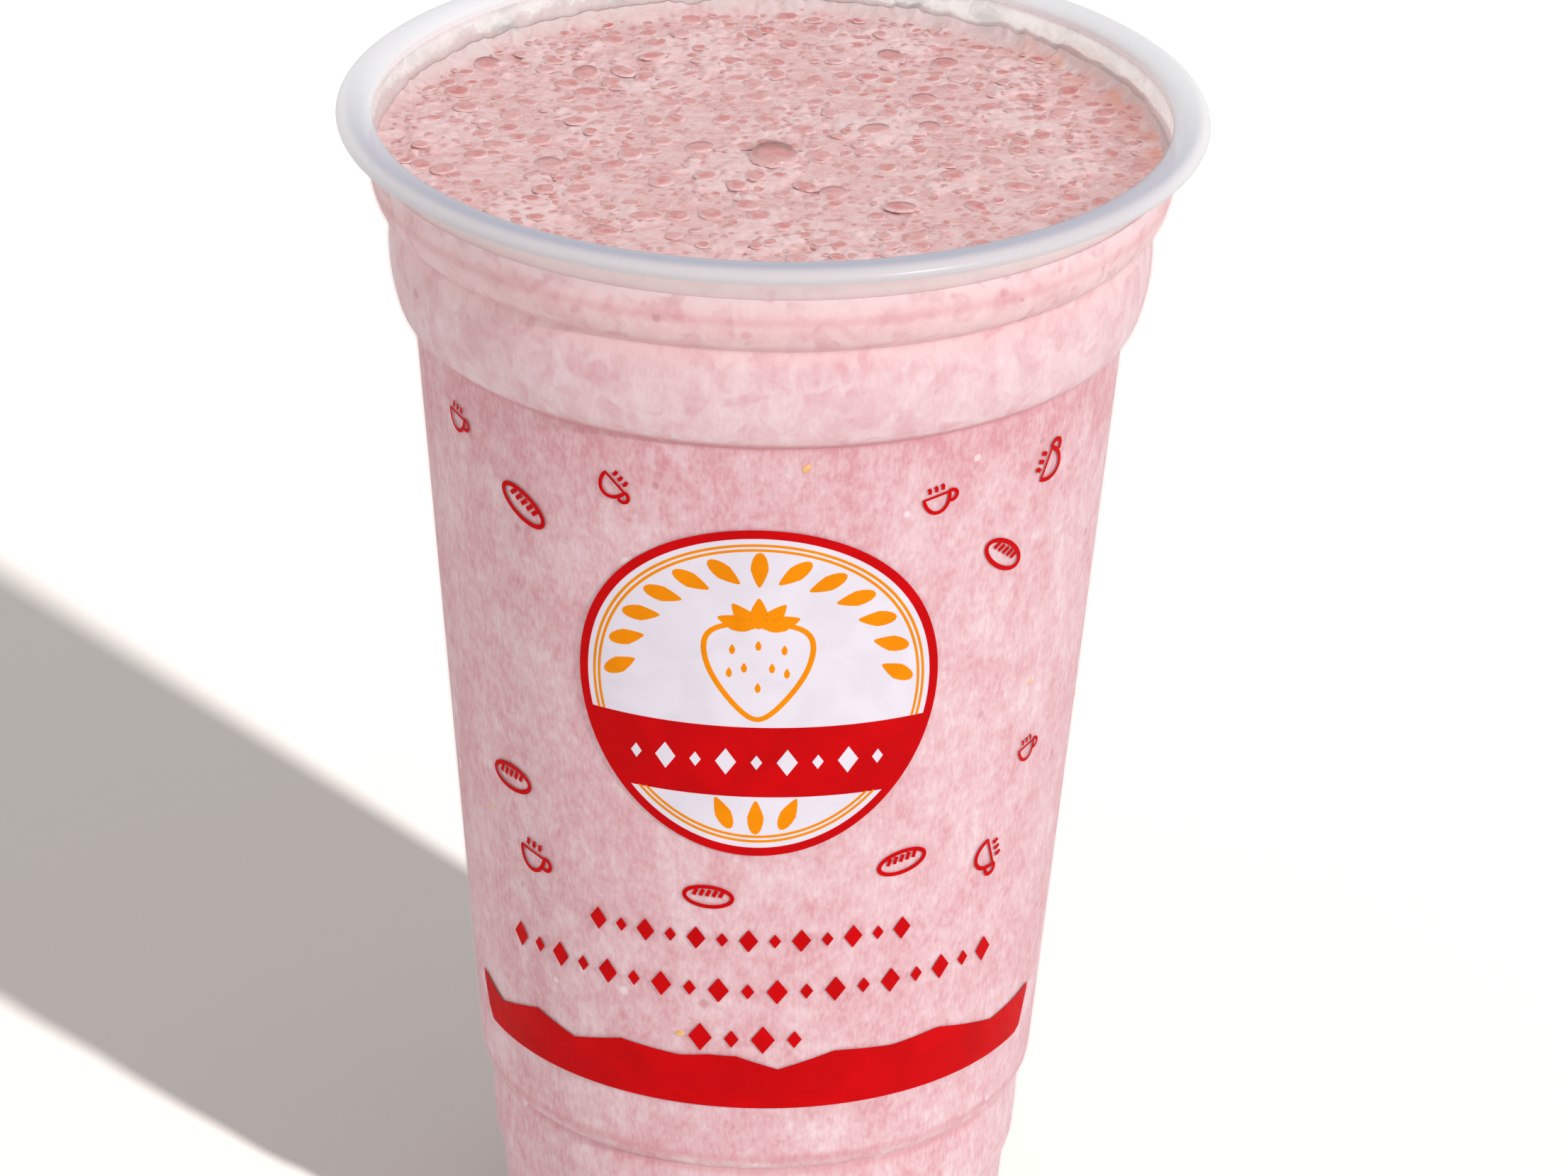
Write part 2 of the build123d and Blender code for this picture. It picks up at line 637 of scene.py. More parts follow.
def drink_finish(colours, creases):
    """The drink as its side shows through the cup."""
    material, tree, shader = new_material("smoothie_drink")
    place = object_place(tree)
    height = axis_parts(tree, place)[2]
    blotch = mottle(tree, place, 130.0, 6.0, 0.4, 0.64)
    streak = mottle(tree, stretched(tree, place, (1.0, 1.0, 0.4)), 420.0, 4.0, 0.42, 0.68)
    patch = mottle(tree, place, 300.0, 5.0, 0.44, 0.62)
    shoulder = eased(tree, height, creases[0] - 0.2 * MM, creases[0] + 1.6 * MM)
    neck = eased(tree, height, creases[1] - 2.5 * MM, creases[1] - 0.5 * MM)
    # Painted light: the drink's top edge, in the rim's shadow, is lightened towards the foam's
    # colour.
    lip = eased(tree, height, creases[2] + 1.2 * MM, creases[2] + 3.4 * MM)
    below = eased(tree, height, creases[0] - 16 * MM, creases[0] - 2 * MM)
    below = times(tree, below, less(tree, 1.0, shoulder))
    pallor = weighed(
        tree,
        (blotch["Mask"], 0.22),
        (streak["Mask"], 0.17),
        (blotch["Fine"], 0.26),
        (streak["Fine"], 0.3),
    )
    pallor = less(tree, pallor, times(tree, below, 0.16), clamp=True)
    blush = times(tree, patch["Mask"], plus(tree, blotch["Fine"], 0.25))
    spots = specks(tree, place, 360.0, 0.3, 0.22)
    base = layered(
        tree,
        mixed(tree, pallor, colours.drink_deep, colours.drink_pale),
        (shoulder, 0.45, colours.drink_foam_and_light),
        (neck, 0.4, colours.film_near),
        (lip, 0.6, colours.drink_foam_and_light),
        (times(tree, blush, shoulder), 0.5, colours.drink_deep),
        (times(tree, spots, neck), 0.42, colours.drink_crease_shade_and_spots),
    )
    # Painted shade: darker lines along the cup's creases, where the folds' shade falls.
    lifts, strengths = (0.5, 0.6, 0.7, -0.2, -0.2), (0.75, 0.28, 0.28, 0.4, 0.4)
    for level, lift, strength in zip(creases, lifts, strengths):
        line = band_mask(tree, height, level + lift * MM, 1.0 * MM)
        base = layered(tree, base, (line, strength, colours.drink_crease_shade_and_spots))
    base = layered(
        tree,
        base,
        (specks(tree, place, 330.0, 0.2, 0.05), 0.45, DARK_SPECK),
        (specks(tree, place, 260.0, 0.16, 0.08), 0.6, PALE_GLINT),
    )
    values = {"Base Color": base, "Roughness": 0.6, "Specular IOR Level": 0.15}
    fill(tree, shader, values | soak(0.08, (1.0, 0.6, 0.6), 1.5))
    return material


def froth_finish(colours):
    """The froth: mottled foam, paler on its patches, warmer where it runs clear."""
    material, tree, shader = new_material("smoothie_froth")
    foam = placed_group(tree, "Foam", {"Place": object_place(tree)})
    pale, rise, warm = stored_marks(tree, "froth")
    paler = mixed(tree, 0.35, colours.froth_pale, foam["Color"])
    base = mixed(tree, pale, foam["Color"], paler)
    # Whitened where foam climbs the far wall, and as painted light at the shaded edge by the right
    # wall.
    base = mixed(tree, rise, base, colours.film_shade)
    base = mixed(tree, warm, base, colours.froth_warm)
    pits = {"Strength": 0.4, "Distance": 0.12 * MM, "Height": foam["Fine"]}
    bump = node(tree, "ShaderNodeBump", pits).outputs[0]
    values = {"Base Color": base, "Normal": bump, "Roughness": 0.5, "Specular IOR Level": 0.3}
    fill(tree, shader, values | soak(0.1, (1.0, 0.6, 0.55), 1.0))
    return material


def bubble_finish(colours):
    """A flat bubble: deep liquid in its middle inside a thin dark line, partly painted shade."""
    material, tree, shader = new_material("smoothie_bubble")
    place = object_place(tree)
    foam = placed_group(tree, "Foam", {"Place": place})
    middle, line, strength = stored_marks(tree, "bubble")
    grain = mottle(tree, place, 800.0, 3.0, 0.4, 0.62)["Mask"]
    deep = layered(tree, colours.bubble_deep, (grain, 0.5, colours.froth_base))
    base = layered(
        tree, foam["Color"], (middle, strength, deep), (line, strength, colours.froth_line)
    )
    values = {"Base Color": base, "Roughness": 0.35, "Specular IOR Level": 0.35}
    fill(tree, shader, values | soak(0.1, (1.0, 0.4, 0.35), 0.8))
    return material


def film_finish(colours):
    """The clear skin of a large bubble, with painted shade along its far edge."""
    material, tree, shader = new_material("bubble_film")
    swirl = node(
        tree, "ShaderNodeTexNoise", {"Vector": object_place(tree), "Scale": 900.0, "Detail": 2.0}
    )
    line = stored_marks(tree, "bubble")[1]
    base = mixed(tree, swirl.outputs[0], colours.froth_pale, PALE_FILM)
    base = mixed(tree, line, base, colours.film_line_shade)
    alpha = plus(tree, times(tree, line, 0.5), 0.05, clamp=True)
    fill(tree, shader, {"Base Color": base, "Alpha": alpha, "Roughness": 0.1})
    return material


def see_through_shadow(tree, alpha):
    """A milky sheet lets most of the light through, so it casts a faint shadow."""
    shadow = node(tree, "ShaderNodeLightPath").outputs["Is Shadow Ray"]
    return times(tree, alpha, less(tree, 1.0, times(tree, shadow, 0.86)))


def plastic_finish(colours, cup):
    """Milky thin plastic, nearly solid in the rolled rim."""
    material, tree, shader = new_material("cup_plastic")
    place = object_place(tree)
    x, y, z = axis_parts(tree, place)[:3]
    flat = node(tree, "ShaderNodeCombineXYZ", {0: x, 1: y}).outputs[0]
    radius = node(tree, "ShaderNodeVectorMath", {0: flat}, operation="LENGTH").outputs["Value"]
    top, neck = rim_line(cup), cup.rim / 2 - cup.bead_width
    milk = mottle(tree, place, 60.0, 3.0, 0.35, 0.7)["Mask"]
    bead = most(
        tree,
        eased(tree, radius, neck - 0.1 * MM, neck + 0.5 * MM),
        eased(tree, z, top - 1.3 * MM, top - 0.5 * MM),
    )
    cool = times(
        tree,
        eased(tree, radius, neck + 2.9 * MM, neck + 1.7 * MM),
        eased(tree, z, top - 0.3 * MM, top + 0.3 * MM),
    )
    base = layered(
        tree,
        colours.plastic,
        (milk, 0.15, CLEAR_WHITE),
        # Painted shade: the rim darker towards the front.
        (bead, eased(tree, y, 0.1 * neck, -0.9 * neck, 0.0, 0.9), colours.bead_front_shade),
        # Painted shade: the rim's inner top side, strongest at the front.
        (cool, eased(tree, y, 0.3 * neck, -0.75 * neck, 0.15, 1.0), colours.bead_cool_shade),
        # Painted light: the rim's underside lighter.
        (eased(tree, z, top - 0.1 * MM, top - 0.8 * MM), bead, colours.bead_under_light),
    )
    grazing = node(tree, "ShaderNodeLayerWeight", {"Blend": 0.2}).outputs["Facing"]
    shoulder = side_stations(cup)[-5][1]
    upper = eased(tree, z, shoulder - 0.5 * MM, shoulder + 3 * MM)
    empty = times(
        tree,
        eased(tree, z, top - 5.5 * MM, top - 2.5 * MM),
        eased(tree, y, -0.5 * neck, 0.1 * neck),
    )
    veil = weighed(
        tree, (milk, 0.04), (grazing, 0.1), (times(tree, grazing, upper), 0.15), (empty, 0.1)
    )
    alpha = most(tree, plus(tree, veil, 0.07), times(tree, bead, 0.85))
    values = {
        "Base Color": base,
        "Alpha": see_through_shadow(tree, alpha),
        "Roughness": plus(tree, times(tree, milk, 0.05), 0.24),
        "IOR": 1.49,
        "Specular IOR Level": 0.35,
    }
    fill(tree, shader, values | soak(0.3, (1.0, 1.0, 1.0), 1.5))
    return material


def smear_finish(colours, froth_line, top):
    """A thin film of drink on the wall above the froth, with a few clear gaps."""
    material, tree, shader = new_material("smoothie_smear")
    place = object_place(tree)
    x, y, height = axis_parts(tree, place)[:3]
    foam = placed_group(tree, "Foam", {"Place": place})
    wide = mottle(tree, place, 130.0, 4.0, 0.36, 0.64)["Mask"]
    patch = mottle(tree, place, 330.0, 3.0, 0.42, 0.66)
    far, side = eased(tree, y, -22 * MM, 2 * MM), eased(tree, x, 8 * MM, 30 * MM)
    ragged = plus(tree, times(tree, wide, 1.3), patch["Fine"])
    line = less(tree, height, times(tree, ragged, 0.9 * MM))
    low = eased(tree, line, froth_line + 3.0 * MM, froth_line + 0.6 * MM)
    cover = plus(tree, times(tree, patch["Mask"], 0.18), 0.14)
    cover = most(tree, cover, times(tree, low, less(tree, 0.8, times(tree, side, 0.5))))
    cover = most(tree, cover, less(tree, 0.9, far))
    cover = times(tree, cover, eased(tree, height, top, top - 0.7 * MM))
    # Painted light and shade: the far film is darker at the left, where the light falls full, and
    # paler at the right, which lies in shade.
    far_tone = mixed(
        tree, eased(tree, x, -30 * MM, 26 * MM), colours.film_shade, colours.film_far
    )
    foaming = less(tree, far, times(tree, times(tree, far, side), 0.7))
    warm = times(tree, eased(tree, x, 24 * MM, 36 * MM), eased(tree, y, -14 * MM, -4 * MM))
    warm = times(tree, warm, times(tree, low, wide))
    # Painted shade: grey gaps in the foam on the far wall.
    gaps = specks(tree, stretched(tree, place, (1.0, 1.0, 1.7)), 210.0, 0.5, 0.5)
    gap = times(tree, gaps, band_mask(tree, height, froth_line + 3.1 * MM, 2.2 * MM))
    gap = times(tree, times(tree, gap, eased(tree, y, 8 * MM, 20 * MM)), 1.5, clamp=True)
    base = layered(
        tree,
        mixed(tree, far, colours.film_near, far_tone),
        (patch["Mask"], less(tree, 0.5, times(tree, far, 0.5)), colours.froth_base),
        (low, foaming, mixed(tree, 0.4, foam["Color"], far_tone)),
        (warm, 0.5, colours.froth_warm),
        (gap, 0.85, colours.film_gap_shade),
        (specks(tree, place, 300.0, 0.24, 0.12), 0.5, colours.froth_deep),
    )
    values = {
        "Base Color": base,
        "Alpha": see_through_shadow(tree, cover),
        "Roughness": 0.5,
        "Specular IOR Level": 0.2,
    }
    fill(tree, shader, values | soak(0.9, (1.0, 0.85, 0.85), 1.5))
    return material


def ink_finish(name, tint, shade):
    """Printed ink with a little unevenness in its colour and gloss."""
    _, tree, shader = new_material(name)
    lay = mottle(tree, object_place(tree), 160.0, 3.0, 0.3, 0.7)
    base = layered(tree, tint, (lay["Mask"], shade, [v * 0.86 for v in tint]))
    rough = plus(tree, times(tree, lay["Fine"], 0.12), 0.4)
    fill(tree, shader, {"Base Color": base, "Roughness": rough, "Specular IOR Level": 0.04})


def fruit_finish():
    """Tiny bits of fruit and seed."""
    material, tree, shader = new_material("fruit_bits")
    lay = mottle(tree, object_place(tree), 900.0, 2.0, 0.35, 0.65)["Mask"]
    fill(tree, shader, {"Base Color": mixed(tree, lay, FRUIT_DEEP, FRUIT_PALE), "Roughness": 0.5})
    return material


# ------------------------------------------------------------ froth shape


def froth_place(drink, cup):
    """Level of the froth's edge, radius of the inner wall there, and the froth's reach into it."""
    level = cup.height - drink.headspace
    wall_radius = radius_at(skin(cup, cup.wall), level)
    return level, wall_radius, wall_radius + drink.reach * 0.8


def clamped(value, low, high):
    """Value as a part from 0 to 1 of the way from low to high."""
    return min(max((value - low) / (high - low), 0.0), 1.0)


# Place and radius of the one bubble that stands out
BIG_BUBBLE = (0.2 * MM, -3.6 * MM, 2.5 * MM)
# Bubbles wider than the first have all their rings, and wider than the second a clear skin
RINGED_RADIUS, SKINNED_RADIUS = 0.5 * MM, 1.35 * MM
# Place and size of each pale patch of foam, in millimetres
FOAM_PATCHES = (
    (-1.5, -7.5, 6.0), (-7.0, -9.5, 4.0), (13.0, 5.5, 4.5), (21.0, -9.0, 3.5),
    (-28.0, -20.0, 5.0), (-14.0, 18.0, 4.0), (29.0, 10.0, 5.0), (-38.0, 3.0, 4.0),
    (6.0, -33.0, 6.0), (-9.0, 31.0, 6.0), (13.0, 33.0, 6.0), (33.0, -4.0, 4.0),
    (-26.0, 27.0, 5.0), (28.0, 24.0, 4.5),
)


def ripple(x, y, layer, size):
    """Noise of one size at a point, in a layer of its own."""
    return noise.noise(Vector((x, y, layer)) / (size * MM))


def froth_marks(x, y, reach):
    """Lift, paleness, climb, wobble, warmth and whitening of the froth at a point."""
    fine, middle = ripple(x, y, 0.31, 0.9), ripple(x, y, 1.7, 2.8)
    wide, wobble = ripple(x, y, 5.1, 9.0), ripple(x, y, 3.3, 4.0)
    patch = ripple(x, y, 9.4, 6.0) + 0.35 * fine
    pale = 0.8 * clamped(patch, 0.22, 0.5)
    for centre_x, centre_y, size in FOAM_PATCHES:
        away = math.hypot(x / MM - centre_x, (y / MM - centre_y) * 0.8) / size
        pale = max(pale, clamped(1.0 + 0.9 * middle + 0.5 * fine - away, 0.0, 0.35))
    edge = math.hypot(x, y) / reach
    far = clamped(y / reach, -0.1, 0.55)
    climb = clamped(edge, 0.955 - 0.03 * far + 0.012 * wobble, 1.0 + 0.012 * wobble) ** 2
    climb *= 1 + 1.7 * far * (1 + 0.3 * middle + 0.12 * fine)
    rise = far * clamped(edge + 0.03 * wobble + 0.015 * fine, 0.925, 0.985)
    side = math.degrees(math.atan2(y, x))
    warm = clamped(edge + 0.05 * wobble + 0.02 * fine, 0.88, 0.96)
    warm *= clamped(abs(side - 14.0), 40.0, 22.0)
    warm *= clamped(middle + 0.5 * fine, -0.3, 0.15)
    # Painted light: the froth's edge along the right wall, which lies in shade, is whitened.
    brim = clamped(edge + 0.01 * wobble, 0.96, 0.99) * clamped(x / reach, 0.5, 0.8)
    rise = max(rise, brim)
    warm *= 1 - brim
    height = 0.05 * fine + 0.1 * middle + 0.14 * wide + 0.2 * pale * (1 + fine)
    return height * MM, pale, climb, wobble, warm, rise


def froth_height(x, y, level, reach, drink):
    """Height of the froth's surface."""
    lift, _, climb, wobble, _, _ = froth_marks(x, y, reach)
    crown = drink.crown * (1 - (math.hypot(x, y) / reach) ** 2)
    return level + crown + lift + climb * drink.climb * (1 + 0.6 * wobble)


def disc_place(a, b):
    """Distance and turn of a point of a square, once the square is drawn out to a disc."""
    if a == 0 and b == 0:
        return 0.0, 0.0
    if abs(a) >= abs(b):
        return a, math.pi / 4 * (b / a)
    return b, math.pi / 2 - math.pi / 4 * (a / b)


def bubble_spots(drink, reach):
    """Place and radius of every bubble, the largest first, none overlapping."""
    draw = random.Random(7)
    spots = [BIG_BUBBLE]

    def scatter(count, least, most, room):
        """Place bubbles between two radii in millimetres, with room to their neighbours."""
        placed = tries = 0
        while placed < count and tries < count * 30:
            tries += 1
            radius = draw.uniform(least, most) * MM
            turn = draw.uniform(0, math.tau)
            out = math.sqrt(draw.random()) * (reach - radius * 1.3)
            x, y = out * math.cos(turn), out * math.sin(turn)
            if all(
                (x - sx) ** 2 + (y - sy) ** 2 > (room * (radius + sr)) ** 2 for sx, sy, sr in spots
            ):
                spots.append((x, y, radius))
                placed += 1

    scatter(drink.large, 1.35, 1.6, 1.3)
    scatter(drink.medium // 3, 0.85, 1.3, 1.2)
    scatter(drink.medium - drink.medium // 3, 0.5, 0.85, 1.1)
    scatter(drink.small, 0.22, 0.48, 1.05)
    return spots


def dome_pattern(name, sides, rings):
    """A low dome of unit radius: rings are radius, height and the marks middle and line."""
    dome = filled_circle(name, sides, rings[0][0])
    with editing():
        for (r0, z0, _, _), (r1, z1, _, _) in zip(rings, rings[1:]):
            bpy.ops.mesh.extrude_region_move(TRANSFORM_OT_translate={"value": (0, 0, z1 - z0)})
            bpy.ops.transform.resize(value=(r1 / r0, r1 / r0, 1), center_override=(0, 0, z1))
        bpy.ops.mesh.poke()
    return dome


def mark_dome(dome, rings, strength, turn):
    """Store each point's middle and line marks; the line is faint all round and, as painted shade,
    strongest at the far side.
    """
    layer = dome.data.color_attributes.new("bubble", "FLOAT_COLOR", "POINT")
    for index, vertex in enumerate(dome.data.vertices):
        out = math.hypot(vertex.co.x, vertex.co.y)
        ring = min(rings, key=lambda r: abs(r[0] - out))
        far = clamped(math.sin(math.atan2(vertex.co.y, vertex.co.x) + turn), -0.35, 0.7)
        layer.data[index].color = (ring[2], ring[3] * (0.12 + 0.88 * far), strength, 1.0)


def marked_copy(dome, rings, strength, turn, place):
    """A copy of a dome with marks of its own."""
    mark_dome(dome, rings, strength, turn)
    twin = copied(dome, place)
    dome.data.color_attributes.remove(dome.data.color_attributes["bubble"])
    return twin


# ------------------------------------------------------------ print shapes


def wrap(obj, turn, height, outline, out=0.0):
    """Lay a flat piece, drawn in x and y, on the cup's side."""
    reference = radius_at(outline, height)
    for vertex in obj.data.vertices:
        along, up, lift = vertex.co
        z = height + up
        radius = radius_at(outline, z) + lift + out
        angle = turn + along / reference
        vertex.co = (radius * math.sin(angle), -radius * math.cos(angle), z)


def strip(name, columns, lower, upper, rows):
    """A flat patch between two edges given at each column."""
    clear_selection()
    bpy.ops.mesh.primitive_grid_add(x_subdivisions=len(columns) - 1, y_subdivisions=rows, size=2)
    obj = named(name)
    count = len(columns)
    for vertex in obj.data.vertices:
        column = round((vertex.co.x + 1) / 2 * (count - 1))
        t = (vertex.co.y + 1) / 2
        vertex.co = (columns[column], lower[column] + (upper[column] - lower[column]) * t, 0)
    return obj


def ring_shape(name, outer, inner, sides=128):
    """A flat ring: a filled circle, inset once, with its middle taken out."""
    obj = filled_circle(name, sides, outer)
    with editing():
        bpy.ops.mesh.inset(thickness=outer - inner)
        bpy.ops.mesh.delete(type="FACE")
    return obj


def disc_shape(name, radius, rings, sides=96):
    """A flat disc with rings of faces, fine enough to follow the cup."""
    obj = filled_circle(name, sides, radius)
    with editing():
        for _ in range(rings):
            bpy.ops.mesh.inset(thickness=radius / (rings + 0.6))
        bpy.ops.mesh.poke()
    return obj


def stroke(name, points, width, thickness, closed=False):
    """A raised line along points, drawn as a round-sectioned curve and flattened."""
    clear_selection()
    bpy.ops.curve.primitive_nurbs_path_add()
    obj = bpy.context.object
    obj.name = name
    curve = obj.data
    curve.splines.clear()
    spline = curve.splines.new("POLY")
    spline.points.add(len(points) - 1)
    for point, (x, y) in zip(spline.points, points):
        point.co = (x, y, 0, 1)
    spline.use_cyclic_u = closed
    curve.dimensions = "3D"
    curve.bevel_depth = width / 2
    curve.bevel_resolution = 1
    curve.use_fill_caps = True
    bpy.ops.object.convert(target="MESH")
    obj = named(name)
    for vertex in obj.data.vertices:
        vertex.co.z *= thickness / width
        vertex.co.z += thickness / 4
    return obj


def arc_points(radius_x, radius_y, start, end, count, centre=(0.0, 0.0)):
    """Points on an ellipse's arc, in degrees."""
    points = []
    for i in range(count + 1):
        turn = math.radians(start + (end - start) * i / count)
        points.append(
            (centre[0] + radius_x * math.cos(turn), centre[1] + radius_y * math.sin(turn))
        )
    return points


def poked_circle(name, sides, inset):
    """A filled circle of unit radius, inset once, with its middle split into triangles."""
    obj = filled_circle(name, sides)
    with editing():
        bpy.ops.mesh.inset(thickness=inset)
        bpy.ops.mesh.poke()
    return obj


def drop_shape(name, width, height, thickness, sides=16):
    """A flat drop: a filled circle drawn out to a point at its top."""
    point = 0.55
    obj = poked_circle(name, sides, 0.4)
    for vertex in obj.data.vertices:
        x, y = vertex.co.x, vertex.co.y
        narrow = 1 - point * max(y, 0)
        vertex.co = (x * narrow * width / 2, y * height / 2, 0)
    thicken(obj, thickness)
    return obj


def lozenge_shape(name, width, height, thickness):
    """A flat four-sided lozenge."""
    obj = poked_circle(name, 4, 0.3)
    low = min(v.co.x for v in obj.data.vertices)
    for vertex in obj.data.vertices:
        vertex.co = (vertex.co.x / -low * width / 2, vertex.co.y / -low * height / 2, 0)
    thicken(obj, thickness)
    return obj


def flat_place(x, y, turn=0.0, size=1.0):
    """Where a flat copy goes: moved by x and y, turned and sized."""
    return (
        Matrix.Translation((x, y, 0))
        @ Matrix.Rotation(turn, 4, "Z")
        @ Matrix.Diagonal((size, size, 1, 1))
    )


# ------------------------------------------------------------ operators


class SMOOTHIE_OT_stage(bpy.types.Operator):
    """Lay the floor, hang the lamps and set up the camera"""

    bl_idname = "smoothie.stage"
    bl_label = "Stage"

    def execute(self, context):
        scene = context.scene
        scene.view_settings.view_transform = "Standard"
        self.lay_floor()
        self.set_world(scene)
        self.hang_lamps()
        self.set_camera(scene)
        return {"FINISHED"}

    def lay_floor(self):
        clear_selection()
        bpy.ops.mesh.primitive_plane_add(size=6.0)
        floor = named("floor")
        with editing():
            bpy.ops.mesh.subdivide(number_cuts=3)
        material, tree, shader = new_material("pale_floor")
        tree.nodes.remove(shader)
        grain = node(tree, "ShaderNodeTexNoise", {"Vector": object_place(tree), "Scale": 3.0})
        seen = mixed(tree, grain.outputs[0], (0.66, 0.62, 0.59, 1), (0.67, 0.63, 0.6, 1))
        rays = node(tree, "ShaderNodeLightPath").outputs
        looked = most(tree, rays["Is Camera Ray"], rays["Is Transmission Ray"])
        tint = mixed(tree, looked, (0.46, 0.45, 0.44, 1), seen)
        surface = node(tree, "ShaderNodeBsdfDiffuse", {"Color": tint})
        out = tree.nodes["Material Output"]
        fill(tree, out, {"Surface": surface.outputs[0]})
        floor.data.materials.append(material)

    def set_world(self, scene):
        world = bpy.data.worlds.new("pale_room")
        scene.world = world
        world.use_nodes = True
        tree = world.node_tree
        back = tree.nodes["Background"]
        rays = node(tree, "ShaderNodeLightPath").outputs
        looked = most(tree, rays["Is Camera Ray"], rays["Is Glossy Ray"])
        looked = most(tree, looked, rays["Is Transmission Ray"])
        strength = node(tree, "ShaderNodeMapRange", {0: looked, 3: 0.7, 4: 1.0})
        fill(tree, back, {"Color": CLEAR_WHITE, "Strength": strength.outputs[0]})

    def hang_lamps(self):
        """One key lamp, and its twin that lights only the floor."""
        rise, turn = math.radians(28), math.radians(131)
        travel = Vector((math.cos(turn), math.sin(turn), -math.tan(rise)))
        for name, energy in (("key_lamp", 1.48), ("floor_lamp", 5.2)):
            clear_selection()
            bpy.ops.object.light_add(type="SUN", location=(0.6, -0.7, 0.7))
            lamp = bpy.context.object
            lamp.name = name
            lamp.data.energy = energy
            lamp.data.angle = math.radians(2)
            lamp.rotation_euler = travel.to_track_quat("-Z", "Y").to_euler()
        only = bpy.data.collections.new("floor_only")
        only.objects.link(bpy.data.objects["floor"])
        lamp.light_linking.receiver_collection = only

    def set_camera(self, scene):
        clear_selection()
        bpy.ops.object.camera_add()
        camera = bpy.context.object
        camera.name = "camera"
        pitch, pan, roll = map(math.radians, (25.3607, 0.17205, 1.18011))
        turn = (
            Matrix.Rotation(-pan, 4, "Z")
            @ Matrix.Rotation(math.pi / 2 - pitch, 4, "X")
            @ Matrix.Rotation(roll, 4, "Z")
        )
        eye = (0, -0.76484, 0.45025)
        camera.matrix_world = Matrix.Translation(eye) @ turn
        camera.data.sensor_width = 36.0
        camera.data.lens = 168.185
        camera.data.clip_start = 0.01
        scene.camera = camera


class SMOOTHIE_OT_groups(bpy.types.Operator):
    """Build the effects that several finishes share"""

    bl_idname = "smoothie.groups"
    bl_label = "Shared effects"

    def execute(self, context):
        make_mottle_group()
        make_speck_group()
        make_foam_group(context.scene.finish_colours)
        return {"FINISHED"}


class SMOOTHIE_OT_cup(bpy.types.Operator):
    """Spin the thin cup with its rolled rim"""

    bl_idname = "smoothie.cup"
    bl_label = "Cup"

    def execute(self, context):
        cup, colours = context.scene.cup_sizes, context.scene.finish_colours
        outer = underside(cup, 0.0) + skin(cup, 0.0)
        inner = underside(cup, cup.wall) + skin(cup, cup.wall)
        top = rim_line(cup)
        inner_edge = cup.rim / 2 - cup.bead_width - cup.wall - cup.bead_lip
        half_width = (cup.rim / 2 - inner_edge) / 2
        middle = cup.rim / 2 - half_width
        # The roll runs from the outer skin under the rim, over the top, to the inner skin.
        first = math.acos((middle - outer[-1][0]) / half_width) - math.pi
        last = math.pi - math.asin(0.12)
        bead = arc_points(
            half_width,
            cup.bead_height / 2,
            math.degrees(first),
            math.degrees(last),
            40,
            (middle, top),
        )
        low = bead[0][1] - 0.15 * MM
        outer = [p for p in outer if p[1] < low]
        inner = [p for p in inner if p[1] < top - 0.25 * MM]
        piece = spun("cup_wall", outer + bead + list(reversed(inner)), cup.sides)
        finished(piece, 35, plastic_finish(colours, cup), "cup", CUP_NODE)
        return {"FINISHED"}


class SMOOTHIE_OT_drink(bpy.types.Operator):
    """Spin the drink that fills the cup and reaches into its wall"""

    bl_idname = "smoothie.drink"
    bl_label = "Drink"

    def execute(self, context):
        cup, drink = context.scene.cup_sizes, context.scene.drink_sizes
        level = froth_place(drink, cup)[0]
        inset = cup.wall - drink.reach
        # The side climbs a little past the froth's edge, and the top lies flat under the froth.
        top = level + 1.2 * MM
        side = [p for p in underside(cup, inset) + skin(cup, inset) if p[1] < top - 0.1 * MM]
        radius = radius_at(skin(cup, inset), top)
        side.append((radius, top))
        for inward, drop in ((0.35, 0.1), (0.9, 1.2), (1.6, 1.9)):
            side.append((radius - inward * MM, top - drop * MM))
        floor = top - 2.0 * MM
        side += [(radius * part, floor) for part in (0.8, 0.5, 0.2)] + [(0.0, floor)]
        piece = spun("smoothie_body", side, cup.sides)
        corners = [z for _, z, _, _ in side_stations(cup)]
        creases = (corners[-5], corners[-3], corners[-2], corners[4], corners[3])
        look = drink_finish(context.scene.finish_colours, creases)
        finished(piece, 35, look, "smoothie", DRINK_NODE)
        return {"FINISHED"}


class SMOOTHIE_OT_froth(bpy.types.Operator):
    """Lay the froth, with its foam patches and its climb up the wall"""

    bl_idname = "smoothie.froth"
    bl_label = "Froth"

    def execute(self, context):
        cup, drink = context.scene.cup_sizes, context.scene.drink_sizes
        level, _, reach = froth_place(drink, cup)
        clear_selection()
        bpy.ops.mesh.primitive_grid_add(
            x_subdivisions=drink.grid, y_subdivisions=drink.grid, size=2
        )
        piece = named("froth")
        marks = []
        for vertex in piece.data.vertices:
            out, turn = disc_place(vertex.co.x, vertex.co.y)
            x, y = out * reach * math.cos(turn), out * reach * math.sin(turn)
            vertex.co = (x, y, froth_height(x, y, level, reach, drink))
            _, pale, _, _, warm, rise = froth_marks(x, y, reach)
            marks.append((0.8 * pale, 0.7 * rise, 0.85 * warm, 1))
        with editing():
            bpy.ops.mesh.region_to_loop()
            bpy.ops.mesh.extrude_region_move()
            bpy.ops.transform.resize(value=(1, 1, 0), center_override=(0, 0, level - 1.2 * MM))
            bpy.ops.mesh.edge_face_add()
            bpy.ops.mesh.select_all(action="SELECT")
            bpy.ops.mesh.normals_make_consistent(inside=False)
        layer = piece.data.color_attributes.new("froth", "FLOAT_COLOR", "POINT")
        for index, parts in enumerate(marks):
            layer.data[index].color = parts
        finished(piece, 50, froth_finish(context.scene.finish_colours), "smoothie", DRINK_NODE)
        return {"FINISHED"}


